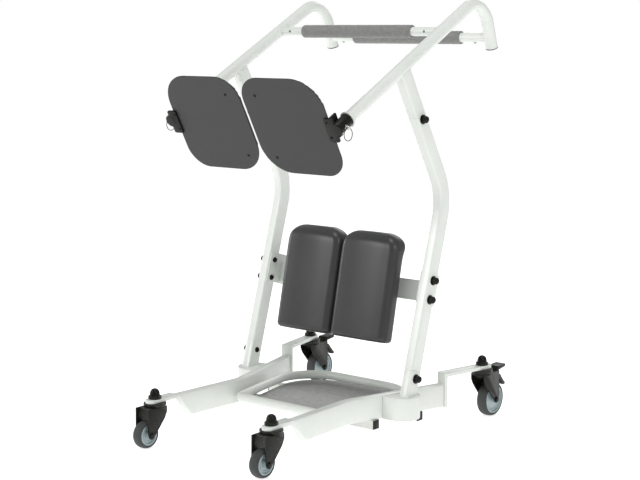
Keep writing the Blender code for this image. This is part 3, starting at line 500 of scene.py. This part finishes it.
# Places on the uprights and arms, as (y, z)
uprightFoot, stubTop = (0.0576, 0.105), (0.0224, 1.0115)
lowerJoint, elbow, upperJoint = (0.0833, 0.191), (0.2251, 0.662), (0.0923, 0.891)
armHeight, hookCornerY, seatPivotY = 0.9995, 0.404, -0.245
hookCorner, hookEnd = (hookCornerY, armHeight + armSlope * hookCornerY), (0.456, 1.063)
seatPivot = Vector((0, seatPivotY, armHeight + armSlope * seatPivotY))


def uprightSection(steps=5):
    depth, width, edge = [tubeSizes["upright" + part] for part in ("Depth", "Width", "Edge")]
    return roundedRectangle(depth, width, edge, steps)


def upright(side, label):
    x = side * tubeSizes["armX"]
    path = filleted([(x, y, z) for y, z in (lowerJoint, elbow, upperJoint)], [tubeSizes["elbowRadius"]], 28)
    endGap = 0.0003
    path[0] = path[0] + (path[1] - path[0]).normalized() * endGap
    path[-1] = path[-1] + (path[-2] - path[-1]).normalized() * endGap
    piece = sweep("upright_tube_" + label, densified(path, 0.02), uprightSection(), (1, 0, 0))
    settle(piece, "frame", "powderCoat", ["upright_" + label])


def arm(side, label):
    x = side * tubeSizes["armX"]
    armStart = tubeSizes["armStart"]
    start = seatPivot + armAxis * armStart
    corners = [(x, start.y, start.z), (x, *hookCorner), (x, *hookEnd)]
    path = filleted(corners, [tubeSizes["hookRadius"]], 28)
    tube = sweep("arm_run", densified(path, 0.02), circle(tubeSizes["armRadius"], 48), (1, 0, 0))
    stubPath = [Vector((x, y, z)) for y, z in (upperJoint, stubTop)]
    stub = sweep("arm_stub", densified(stubPath, 0.02), uprightSection(), (1, 0, 0))
    centre = seatPivot + Vector((x, 0, 0))
    along = basis(centre, (1, 0, 0), seatDown)
    profile = [(0.0112, 0.0), (0.0112, armStart), (0.0212, armStart), (0.022, 0.0458), (0.022, 0.0482),
               (0.0212, 0.049), (0.0175, 0.0492), (0.0170, 0.052)]
    whole = joined("arm_frame_" + label, [tube, stub, lathe("arm_flange", profile, along), stubSaddle(x)])
    settle(whole, "frame", "powderCoat", ["arm_tube_" + label])

    down = (path[-1] - path[-2]).normalized()
    turn = Vector((0, 0, 1)).rotation_difference(down)
    place = Matrix.Translation(path[-1]) @ turn.to_matrix().to_4x4()
    rim = tubeSizes["armRadius"] + 0.0008
    profile = [(0, 0.0040), (0.004, 0.0039), (0.010, 0.0036), (rim - 0.0022, 0.0028), (rim - 0.0006, 0.0018),
               (rim, 0.0008), (rim, 0.0003), (0.0140, 0.0003), (0.0140, -0.011), (0, -0.011)]
    settle(lathe("arm_end_cap_" + label, profile, place), "frame", "blackPlastic", ["arm_end_plug_" + label])


def stubSaddle(x):
    # The weld where the flat-sided stub meets the round arm tube
    direction = Vector((0, stubTop[0] - upperJoint[0], stubTop[1] - upperJoint[1])).normalized()
    across = Vector((1, 0, 0))
    over = direction.cross(across)
    crossing = Vector((x, stubTop[0], stubTop[1]))
    path = []
    for u, v in uprightSection(8):
        spot = crossing + over * u + across * v
        # Back along the stub until the point is on the arm tube's skin
        low, high = -0.08, 0.0
        for _ in range(24):
            middle = (low + high) / 2
            test = spot + direction * middle
            offset = test - Vector((x, seatPivot.y, seatPivot.z))
            inside = (offset - armAxis * offset.dot(armAxis)).length < tubeSizes["armRadius"]
            low, high = (low, middle) if inside else (middle, high)
        path.append(spot + direction * low)
    return bead("stub_weld", densified([Vector(p) for p in path], 0.0022, True), 0.0013, 0.10)


def grabBar(name, axis):
    y, z, radius = [barSizes[name][key] for key in ("y", "z", "radius")]
    x = tubeSizes["armX"] - 0.004
    path = densified([Vector((-x, y, z)), Vector((x, y, z))], 0.03)
    rod = sweep(name + "_rod", path, circle(radius, 40), (0, 0, 1))
    pieces = [rod]
    axis = Vector(axis).normalized()
    over = Vector((1, 0, 0)).cross(axis)
    for side in sides.values():
        ring = []
        for step in range(64):
            angle = 2 * math.pi * step / 64
            u, v = radius * math.cos(angle), radius * math.sin(angle)
            reach = math.sqrt(tubeSizes["armRadius"] ** 2 - v * v)
            spot = Vector((side * (tubeSizes["armX"] - reach), y, z)) + axis * u + over * v
            ring.append(spot)
        pieces.append(bead(name + "_weld", ring, 0.0016, 0.12))
    settle(joined(name + "_bar", pieces), "frame", "powderCoat", [name])


def foamGrip(bar):
    y, z, bore, outer = barSizes[bar].values()
    name = bar + "_grip"
    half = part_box(name)[1].x
    place = Matrix.Translation((0, y, z)) @ Matrix.Rotation(math.pi / 2, 4, "Y")
    rounding = 0.0028
    corner = arc((outer - rounding, half - rounding), rounding, 90, 0, 5)
    upper = [(bore + 0.0003, half - 0.0012), (bore + 0.0012, half)] + corner
    body = [(outer, half - rounding - (2 * half - 2 * rounding) * step / 90) for step in range(1, 90)]
    # Foam sits a little uneven along the bar
    body = [(r + 0.00025 * noise.noise(Vector((h * 40, y * 90, 0))), h) for r, h in body]
    piece = lathe(name + "_foam", upper + body + mirrored(upper), place, 64, ring=True)
    return settle(piece, "frame", "gripFoam", [name], sharp=50)


for label, side in sides.items():
    upright(side, label)
    arm(side, label)
hookDirection = Vector((0, hookEnd[0] - hookCorner[0], hookEnd[1] - hookCorner[1]))
grabBar("patient_bar", armAxis)
grabBar("push_bar", hookDirection)
for bar in barSizes:
    foamGrip(bar)
print("uprights, arms and bars made")


# Base: legs, straps, footplate

baseEdges = {"base_leg": 0.0012, "upright_base": 0.0014, "entry_caster_strap": 0.0012,
             "handle_caster_strap": 0.0014}
loopSizes = {"radius": 0.0125, "height": 0.088, "sideSlope": 0.21, "sideAtOrigin": 0.187,
             "entryY": -0.134, "handleY": 0.230, "entryCorner": 0.030, "handleCorner": 0.115}
plateEntryY, plateHandleY = -0.090, 0.258
for label, side in sides.items():
    for node, edge in baseEdges.items():
        refined(node + "_finish_" + label, node + "_" + label, edge, "frame", "powderCoat")
    for end in ("entry", "handle"):
        node = "cross_tube_plug_" + end + "_" + label
        refined(node + "_finish", node, 0.0008, "frame", "blackPlastic")
for end in ("entry", "handle"):
    refined("cross_tube_finish_" + end, "cross_tube_" + end, 0.0006, "frame", "powderCoat")
refined("knee_crossbar_finish", "knee_crossbar", 0.0010, "frame", "powderCoat")


def loopCorners(entryY, handleY, height):
    entryX, handleX = [loopSizes["sideAtOrigin"] + loopSizes["sideSlope"] * y for y in (entryY, handleY)]
    return [(-entryX, entryY, height), (entryX, entryY, height),
            (handleX, handleY, height), (-handleX, handleY, height)]


loopRadii = [loopSizes["entryCorner"]] * 2 + [loopSizes["handleCorner"]] * 2
corners = loopCorners(loopSizes["entryY"], loopSizes["handleY"], loopSizes["height"])
loopPath = densified(filleted(corners, loopRadii, 24, cyclic=True), 0.02, True)
loop = sweep("footplate_loop", loopPath, circle(loopSizes["radius"], 36), (0, 0, 1), cyclic=True)
settle(loop, "frame", "powderCoat", ["footplate_frame"])
corners = [corner[:2] for corner in loopCorners(plateEntryY, plateHandleY, 0)]
plateOutline = [(p.x, p.y) for p in filleted(corners, loopRadii, 24, cyclic=True)]
plateLow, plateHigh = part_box("footplate")
plateMiddle = Matrix.Translation((0, 0, (plateLow.z + plateHigh.z) / 2))
plate = slab("footplate_tread", plateOutline, plateHigh.z - plateLow.z, plateMiddle, 0.0008, 2)
settle(plate, "frame", "footplateTop", ["footplate"])
print("base made")


# Pads


def puffed(piece, isHeld, frames=20):
    # Swells the shape as cloth, held where isHeld says, and limits how far any point may move
    cap = seatSizes["mostSwell"]
    remesh = piece.modifiers.new("remesh", "REMESH")
    remesh.mode = "VOXEL"
    remesh.voxel_size = seatSizes["voxel"]
    bpy.context.view_layer.update()
    graph = bpy.context.evaluated_depsgraph_get()
    mesh = bpy.data.meshes.new_from_object(piece.evaluated_get(graph))
    mesh.transform(piece.matrix_world)
    name = piece.name
    bpy.data.objects.remove(piece)
    blob = newObject(name, mesh)
    rest = [v.co.copy() for v in mesh.vertices]
    held = blob.vertex_groups.new(name="held")
    held.add([i for i, spot in enumerate(rest) if isHeld(spot)], 1.0, "REPLACE")
    cloth = blob.modifiers.new("cloth", "CLOTH")
    cloth.settings.use_pressure = True
    cloth.settings.uniform_pressure_force = seatSizes["pressure"]
    cloth.settings.vertex_group_mass = "held"
    cloth.settings.effector_weights.gravity = 0
    cloth.settings.quality = 4
    cloth.point_cache.frame_start = 1
    cloth.point_cache.frame_end = frames
    scene = bpy.context.scene
    for number in range(1, frames + 1):
        scene.frame_set(number)
    graph = bpy.context.evaluated_depsgraph_get()
    swollen = bpy.data.meshes.new_from_object(blob.evaluated_get(graph))
    moved = [v.co.copy() for v in swollen.vertices]
    bpy.data.meshes.remove(swollen)
    blob.modifiers.clear()
    blob.vertex_groups.clear()
    scene.frame_set(1)
    for vertex, start, end in zip(mesh.vertices, rest, moved):
        shift = end - start
        far = shift.length
        vertex.co = start + (shift * (cap * math.tanh(far / cap) / far) if far > 1e-9 else shift)
    finer = blob.modifiers.new("finer", "SUBSURF")
    finer.levels = finer.render_levels = 1
    return blob


kneeSizes = {"front": (0.093, 0.400), "thickness": 0.052, "low": -0.146, "high": 0.161, "inner": 0.0015,
             "outer": 0.200, "topCorner": 0.050, "lowCorner": 0.013, "topRoll": 0.036, "lowRoll": 0.010,
             "shoulder": 0.024, "crown": 0.0100, "backEdge": 0.009, "flare": 0.012, "flareHeight": 0.136}


def rolled(distance, radius):
    # How far a rounded end has drawn in, at a distance from its tip
    reach = max(0.0, radius - max(distance, 0.0))
    return radius - math.sqrt(max(radius ** 2 - reach ** 2, 0.0))


def kneeRing(side, height):
    # One closed section of the pad, as (x across, depth from the front face) points
    top, bottom = kneeSizes["high"] - height, height - kneeSizes["low"]
    drawnIn = rolled(top, kneeSizes["topCorner"]) + rolled(bottom, kneeSizes["lowCorner"])
    middle = (kneeSizes["inner"] + kneeSizes["outer"]) / 2
    half = (kneeSizes["outer"] - kneeSizes["inner"]) / 2 - drawnIn
    front = rolled(top, kneeSizes["topRoll"]) + rolled(bottom, kneeSizes["lowRoll"])
    flare = kneeSizes["flare"] * math.exp(-((height - kneeSizes["flareHeight"]) / 0.024) ** 2)
    back = kneeSizes["thickness"] + flare - rolled(top, 0.014) - rolled(bottom, 0.006)
    shoulder = min(kneeSizes["shoulder"], (back - front) * 0.45)
    backEdge = min(kneeSizes["backEdge"], (back - front) * 0.3)
    crown = kneeSizes["crown"]
    points = []
    for step in range(25):
        share = step / 12 - 1
        rise = crown * (abs(share) * (half - shoulder) / half) ** 2.4
        points.append(((half - shoulder) * share, front + rise))
    edge = points[-1][1]
    points += [(half - shoulder + shoulder * math.sin(a), edge + shoulder * (1 - math.cos(a)))
               for a in [math.radians(90 * step / 12) for step in range(1, 13)]]
    points += arc((half - backEdge, back - backEdge), backEdge, 0, 90, 6)
    points += [(-x, depth) for x, depth in reversed(points[25:])]
    return [(side * middle + x, depth) for x, depth in points]


def kneePad(side, label):
    away = Vector((0, math.cos(kneeLean), -math.sin(kneeLean)))
    up = Vector((0, math.sin(kneeLean), math.cos(kneeLean)))
    front = Vector((0, *kneeSizes["front"]))
    low, high = kneeSizes["low"], kneeSizes["high"]
    ends = [0, 0.0004, 0.0012, 0.0024, 0.004, 0.006, 0.0085, 0.0115, 0.015, 0.019, 0.024, 0.030, 0.037]
    heights = [low + end for end in ends]
    heights += [low + 0.045 + (high - low - 0.09) * step / 26 for step in range(27)]
    heights += [high - end for end in reversed(ends)]
    shape = bmesh.new()
    rings = []
    for height in heights:
        base = front + up * height
        spots = [base + Vector((x, 0, 0)) + away * depth for x, depth in kneeRing(side, height)]
        rings.append([shape.verts.new(spot) for spot in spots])
    skinned(shape, rings)
    bmesh.ops.remove_doubles(shape, verts=shape.verts, dist=0.00005)
    bmesh.ops.recalc_face_normals(shape, faces=shape.faces)
    pad = shapeToObject("knee_pad_cushion_" + label, shape)
    eased = pad.modifiers.new("eased", "SMOOTH")
    eased.factor = 0.5
    eased.iterations = 4
    done = settle(pad, "frame", "padVinyl", ["knee_pad_" + label], sharp=80)


seatSizes = {"face": Vector((0, -0.2501, 0.875)), "thickness": 0.015, "inner": 0.006, "outer": 0.2715,
             "low": 0.153, "high": -0.132, "radii": [0.068, 0.088, 0.062, 0.085], "board": 0.004,
             "swell": 0.0025, "voxel": 0.004, "pressure": 4.0, "mostSwell": 0.004,
             "screws": ((0.052, -0.080), (0.051, 0.107))}


def seatOutline(side, inset, steps=16):
    inner, outer = seatSizes["inner"] + inset, seatSizes["outer"] - inset
    low, high = seatSizes["low"] - inset, seatSizes["high"] + inset
    corners = [(inner, high), (outer, high), (outer, low), (inner, low)]
    radii = [radius - inset for radius in seatSizes["radii"]]
    path = filleted([(side * x, down) for x, down in corners], radii, steps, cyclic=True)
    return [(p.x, p.y) for p in path]


def seatPad(side, label):
    body = "seat_" + label
    board = seatSizes["board"]
    place = basis(seatSizes["face"] + armAxis * board / 2, (1, 0, 0), seatDown)
    panel = slab("seat_board_" + label, seatOutline(side, 0.0), board, place, 0.0009, 3)
    settle(panel, body, "padBoard", sharp=50)
    swell = seatSizes["swell"]
    thickness = seatSizes["thickness"] - board - swell
    place = basis(seatSizes["face"] + armAxis * (board + thickness / 2), (1, 0, 0), seatDown)
    pad = slab("seat_cushion_" + label, seatOutline(side, 0.0015), thickness, place, 0.0040, 3)
    flat = board + 0.0015
    face = seatSizes["face"]
    cushion = puffed(pad, lambda spot: (spot - face).dot(armAxis) < flat)
    cushion.name = "seat_cushion_" + label
    done = settle(cushion, body, "padVinyl", ["seat_pad_" + label], sharp=80)
    spots = [(face + Vector((side * x, 0, 0)) + seatDown * down, -armAxis) for x, down in seatSizes["screws"]]
    fixings("seat_screws_" + label, spots, padScrew, body)


for label, side in sides.items():
    kneePad(side, label)
    seatPad(side, label)
print("pads made")


# Seat hinges, pins and rings

pinSizes = {"alongArm": 0.0155, "dip": math.radians(12), "eye": 0.0225, "ringRadius": 0.0165,
            "ringWire": 0.0010}
flapX, flapFace = 0.267, 0.0058

def pinPlace(side):
    centre = seatPivot + armAxis * pinSizes["alongArm"] + Vector((side * tubeSizes["armX"], 0, 0))
    direction = Vector((side * math.cos(pinSizes["dip"]), 0, 0)) + seatDown * math.sin(pinSizes["dip"])
    return basis(centre, armAxis, direction.cross(armAxis))


def seatHinge(side, label):
    body = "seat_" + label
    refined("seat_hinge_finish_" + label, "seat_hinge_" + label, 0.0009, body, "blackPlastic")
    place = pinPlace(side)
    profile = [(0.0036, 0.0160), (0.0062, 0.0160), (0.0066, 0.0164), (0.0066, 0.0178), (0.0060, 0.0183),
               (0.0036, 0.0183)]
    settle(lathe("pin_collar_" + label, profile, place, 32, ring=True), body, "steel")
    profile = [(0, 0.0265), (0.0036, 0.0265), (0.0046, 0.0262), (0.0050, 0.0256), (0.0050, 0.0240),
               (0.0046, 0.0236), (0.0046, 0.0210), (0.0050, 0.0206), (0.0050, 0.0190), (0.0046, 0.0184),
               (0.0030, 0.0184), (0.0030, 0.0122), (0.0024, 0.0116), (0, 0.0116)]
    pin = lathe("detent_pin_turned_" + label, profile, place, 32)
    settle(pin, "pin_" + label, "steel", ["detent_pin_" + label])
    eye = place @ Vector((0, 0, pinSizes["eye"]))
    radius = pinSizes["ringRadius"]
    path = [Vector((eye.x, y, z)) for y, z in arc((eye.y, eye.z - radius), radius, 0, 352, 44)]
    ring = sweep("split_ring_" + label, path, circle(pinSizes["ringWire"], 12), (1, 0, 0), cyclic=True)
    settle(ring, "ring_" + label, "casterBlack", ["pull_ring_" + label])
    flap = seatSizes["face"] + Vector((side * flapX, 0, 0)) - armAxis * flapFace
    spots = [(flap + seatDown * down, -armAxis) for down in (-0.012, 0.032)]
    fixings("hinge_screws_" + label, spots, padScrew, body)


for label, side in sides.items():
    seatHinge(side, label)
print("hinges made")


# Casters

casterSizes = {
    "entry": {"x": 0.2095, "y": -0.408, "radius": 0.0375, "trail": 0.036, "width": 0.030, "fork": 0.0250,
              "race": 0.008, "strap": 0.119, "way": -1},
    "handle": {"x": 0.3225, "y": 0.381, "radius": 0.050, "trail": 0.045, "width": 0.032, "fork": 0.0235,
               "race": 0.012, "strap": 0.1475, "way": 1},
}


def caster(end, sizes, side, label):
    name = end + "_" + label
    swivel = Vector((side * sizes["x"], sizes["y"], 0))
    top = sizes["strap"] + 0.0103
    race = sizes["strap"] - 0.0003
    raceEnd = race - sizes["race"]
    cap = [(0, 0.0277), (0.0035, 0.0275), (0.0065, 0.0264), (0.0100, 0.0236), (0.0124, 0.0195),
           (0.0134, 0.0150), (0.0140, 0.0098), (0.0146, 0.0086), (0.0168, 0.0080), (0.0178, 0.0072),
           (0.0180, 0.0060), (0.0180, 0.0010), (0.0174, 0)]
    profile = [(radius, top + height) for radius, height in cap]
    profile += [(0.0060, top), (0.0060, race), (0.0300, race), (0.0310, race - 0.0010),
                (0.0310, raceEnd + 0.0024), (0.0296, raceEnd), (0.0060, raceEnd), (0.0060, raceEnd - 0.007),
                (0, raceEnd - 0.007)]
    stem = lathe("caster_cap_" + name, profile, Matrix.Translation(swivel), 56)
    settle(stem, "frame", "casterBlack", ["caster_stem_" + name])
    profile = [(0.0240, raceEnd - 0.0002), (0.0286, raceEnd - 0.0002), (0.0292, raceEnd - 0.0006),
               (0.0286, raceEnd - 0.0010), (0.0240, raceEnd - 0.0010)]
    seal = lathe("caster_race_ring_" + name, profile, Matrix.Translation(swivel), 56, ring=True)
    settle(seal, "fork_" + name, "steel")
    refined("caster_fork_finish_" + name, "caster_fork_" + name, 0.0007, "fork_" + name, "casterBlack")
    centre = swivel + Vector((0, sizes["way"] * sizes["trail"], sizes["radius"]))
    place = Matrix.Translation(centre) @ Matrix.Rotation(math.pi / 2, 4, "Y")
    head = sizes["fork"] + 0.0003
    bolt = [(0, head + 0.0035), (0.0058, head + 0.0035), (0.0068, head + 0.0030), (0.0072, head + 0.0012),
            (0.0080, head + 0.0010), (0.0080, head), (0.005, head)]
    axle = lathe("caster_axle_turned_" + name, bolt + mirrored(bolt), place, 32)
    settle(axle, "fork_" + name, "casterBlack", ["caster_axle_" + name])

    half = sizes["width"] / 2
    rim = sizes["radius"] - 0.009
    inner = sizes["fork"] - 0.0036
    upper = [(0.0053, inner), (0.0094, inner), (0.0100, inner - 0.0006), (0.0108, half - 0.0062),
             (0.0120, half - 0.0070)]
    ringStart = rim - 0.0120
    upper += [(ringStart, half - 0.0066), (ringStart + 0.0008, half - 0.0052),
              (ringStart + 0.0030, half - 0.0048), (ringStart + 0.0040, half - 0.0062),
              (rim - 0.0046, half - 0.0058), (rim - 0.0038, half - 0.0014), (rim - 0.0030, half - 0.0008),
              (rim - 0.0008, half - 0.0008), (rim, half - 0.0014)]
    hub = lathe("caster_hub_" + name, upper + mirrored(upper), place, 72, ring=True)
    settle(hub, "wheel_" + name, "hubGrey", ["caster_wheel_" + name])
    radius = sizes["radius"]
    wall = [(rim + 0.0003, half - 0.0016), (rim + 0.0010, half - 0.0006), (rim + 0.0024, half - 0.0002),
            (radius - 0.0052, half - 0.0002), (radius - 0.0036, half - 0.0012),
            (radius - 0.0020, half - 0.0034), (radius - 0.0008, half - 0.0068),
            (radius - 0.0001, half - 0.0110)]
    profile = wall + [(radius, 0)] + mirrored(wall)
    tyre = lathe("caster_tread_" + name, profile, place, 96, ring=True)
    settle(tyre, "wheel_" + name, "tyreGrey", ["caster_tyre_" + name])


for end, sizes in casterSizes.items():
    for label, side in sides.items():
        caster(end, sizes, side, label)
for label in sides:
    node = "brake_pedal_handle_" + label
    refined("brake_pedal_finish_" + label, node, 0.0010, "pedal_" + label, "casterBlack")
print("casters made")


# Bolts and caps on the frame


def onUpright(z):
    # The middle of the upright's side at a height
    if z < lowerJoint[1]:
        low, high = uprightFoot, lowerJoint
    elif z < elbow[1]:
        low, high = lowerJoint, elbow
    else:
        low, high = upperJoint, elbow
    return low[0] + (high[0] - low[0]) * (z - low[1]) / (high[1] - low[1])


outerFace = tubeSizes["armX"] + tubeSizes["uprightWidth"] / 2
innerFace = tubeSizes["armX"] - tubeSizes["uprightWidth"] / 2
patientBar, pushBar = barSizes["patient_bar"], barSizes["push_bar"]
jointHeights, kneeBarHeights = (0.1705, 0.8765), (0.381, 0.432)
kneePlate, barScrewX = 0.0033, 0.241
capSpots, boltSpots, barSpots = [], [], []
for side in sides.values():
    for z in sorted(jointHeights + kneeBarHeights):
        capSpots.append(((side * outerFace, onUpright(z), z), (side, 0, 0)))
    for z in jointHeights:
        boltSpots.append(((side * innerFace, onUpright(z), z), (-side, 0, 0)))
    for z in kneeBarHeights:
        boltSpots.append(((side * (innerFace - kneePlate), onUpright(z), z), (-side, 0, 0)))
    y = patientBar["y"] - patientBar["radius"] * 0.88
    z = patientBar["z"] - patientBar["radius"] * 0.47 + 0.006
    barSpots.append(((side * barScrewX, y, z), (0, -0.88, 0.1)))
    barSpots.append(((side * barScrewX, pushBar["y"], pushBar["z"] - pushBar["radius"]), (0, 0, -1)))
fixings("upright_caps", capSpots, domeCap, "frame")
fixings("upright_bolts", boltSpots, flatBolt, "frame")
fixings("bar_bolts", barSpots, padScrew, "frame")
print("fixings made")


# Floor, light and camera


def makeStage():
    floorMesh = bpy.data.meshes.new("floor")
    reach = 40
    corners = [(-reach, -reach, 0), (reach, -reach, 0), (reach, reach, 0), (-reach, reach, 0)]
    floorMesh.from_pydata(corners, [], [(0, 1, 2, 3)])
    floor = newObject("floor", floorMesh)
    paint = bpy.data.materials.new("floorPaint")
    paint.use_nodes = True
    shader = paint.node_tree.nodes["Principled BSDF"]
    shader.inputs["Base Color"].default_value = (0.90, 0.90, 0.90, 1)
    shader.inputs["Roughness"].default_value = 0.9
    shader.inputs["Emission Color"].default_value = (1, 1, 1, 1)
    shader.inputs["Emission Strength"].default_value = 0.68
    floorMesh.materials.append(paint)
    world = bpy.data.worlds.new("studio")
    bpy.context.scene.world = world
    world.use_nodes = True
    sky = world.node_tree.nodes["Background"]
    sky.inputs["Color"].default_value = (1, 1, 1, 1)
    # The backdrop is plain white, and lights the object a little less than it shows
    rays = world.node_tree.nodes.new("ShaderNodeLightPath")
    strength = world.node_tree.nodes.new("ShaderNodeMapRange")
    strength.inputs["To Min"].default_value = 0.38
    strength.inputs["To Max"].default_value = 1.0
    world.node_tree.links.new(rays.outputs["Is Camera Ray"], strength.inputs["Value"])
    world.node_tree.links.new(strength.outputs["Result"], sky.inputs["Strength"])
    bpy.context.scene.view_settings.view_transform = "Standard"
    for name, spot, size, power, aim in (
        ("keyLight", (3.6, -1.0, 2.6), 1.6, 32, (0, 0, 0.6)),
        ("fillLight", (-2.2, -4.0, 2.2), 1.1, 50, (0, 0, 0.6)),
        ("topLight", (0.3, -0.6, 4.2), 1.8, 46, (0, 0, 0.6)),
        ("stripLight", (-3.9, -0.9, 1.1), 0.9, 22, (0, 0, 0.5)),
        ("rimLight", (-1.2, 3.8, 2.8), 2.4, 32, (0, 0, 0.6)),
    ):
        data = bpy.data.lights.new(name, "AREA")
        data.size = size
        data.energy = power
        lamp = newObject(name, data)
        lamp.location = spot
        lamp.rotation_euler = (Vector(aim) - Vector(spot)).to_track_quat("-Z", "Y").to_euler()


def makeCamera():
    data = bpy.data.cameras.new("camera")
    data.sensor_width = 36
    data.lens = 81.91
    data.shift_x = -0.01598
    data.shift_y = -0.00753
    data.clip_end = 100
    camera = newObject("camera", data)
    camera.location = (2.5742, -3.0786, 1.1153)
    camera.rotation_euler = (math.radians(81.951), 0, math.radians(39.142))
    bpy.context.scene.camera = camera


makeStage()
makeCamera()
print("stage and camera made")
